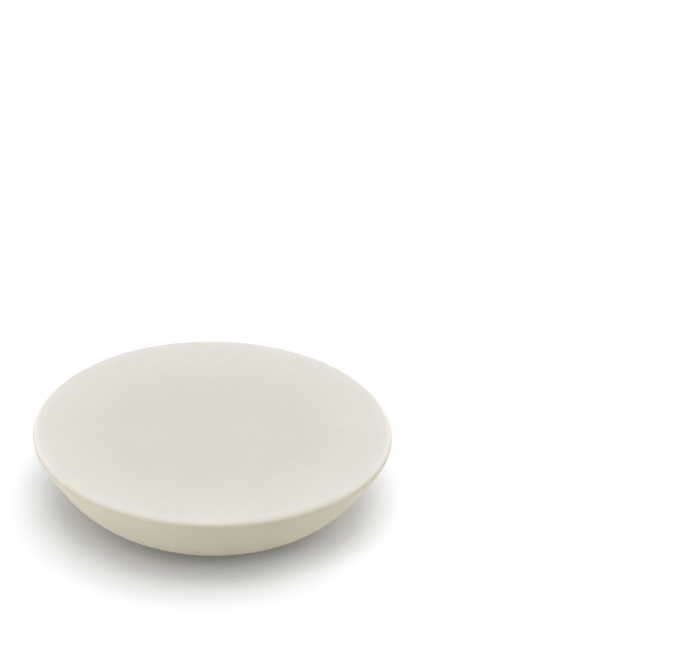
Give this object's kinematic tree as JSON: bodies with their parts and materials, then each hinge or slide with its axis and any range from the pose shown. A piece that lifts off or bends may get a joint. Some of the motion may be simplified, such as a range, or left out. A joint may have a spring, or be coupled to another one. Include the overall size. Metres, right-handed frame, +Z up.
{
  "type": "shaving soap puck",
  "caption": "Round cake of hard shaving soap with a wide flat top, a softly rounded rim and a bowl-shaped underside on a small flat foot.",
  "frame": {"origin": "middle of the flat foot, on the surface that the puck stands on", "axes": "+Z up along the puck's axis of revolution, from the foot to the wide flat top; X and Y are any two level directions, because the puck is round"},
  "size_m": [0.087, 0.087, 0.0205],
  "materials": {
    "soap": "satin, smooth pressed soap, slightly translucent warm ivory"
  },
  "bodies": {
    "root": {"soap_puck": "soap"}
  },
  "joints": []
}
